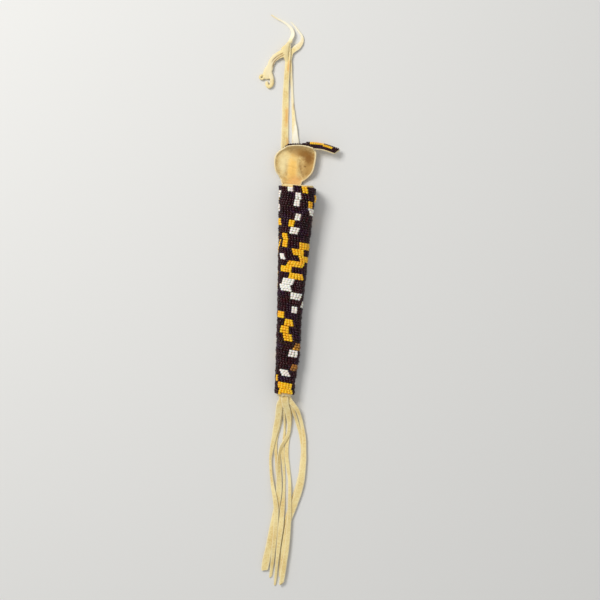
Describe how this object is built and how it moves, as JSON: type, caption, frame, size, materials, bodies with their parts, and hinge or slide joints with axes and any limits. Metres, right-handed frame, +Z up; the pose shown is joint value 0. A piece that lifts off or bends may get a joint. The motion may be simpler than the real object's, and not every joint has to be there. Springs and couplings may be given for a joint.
{
  "type": "awl case",
  "caption": "Slender tapered hide awl case wrapped in a spiral lane of beads, lying on its back with its cupped lid flap open, a knotted thong hanger above and a fringe of thongs at its tip.",
  "frame": {"origin": "on the surface that the case rests on, where a crest of its spiral lane crosses the middle of its back, halfway along the beaded length", "axes": "+Y along the case from its tip to its mouth, +Z up out of its front, +X to the right as seen from above with the mouth away"},
  "size_m": [0.0595, 0.3984, 0.0218],
  "materials": {
    "hide": "matte",
    "thong": "matte",
    "bead_dark": "gloss",
    "bead_amber": "gloss"
  },
  "bodies": {
    "case": {"hide_tube": "hide", "bead_wrap": "bead_dark", "hanger_thong_left": "thong", "hanger_thong_right": "thong", "hanger_knot": "thong", "fringe_thong_1": "thong", "fringe_thong_2": "thong", "fringe_thong_3": "thong", "fringe_thong_4": "thong", "fringe_thong_5": "thong", "fringe_thong_6": "thong", "fringe_thong_7": "thong"},
    "lid": {"lid_flap": "hide", "lid_beads": "bead_dark", "tongue_beads": "bead_amber"}
  },
  "joints": [
    {"name": "lid_fold", "type": "hinge", "parent": "case", "child": "lid", "pos_m": [0, 0.0762, 0.0028], "axis": [1, 0, 0], "range_deg": [0, 85]}
  ]
}
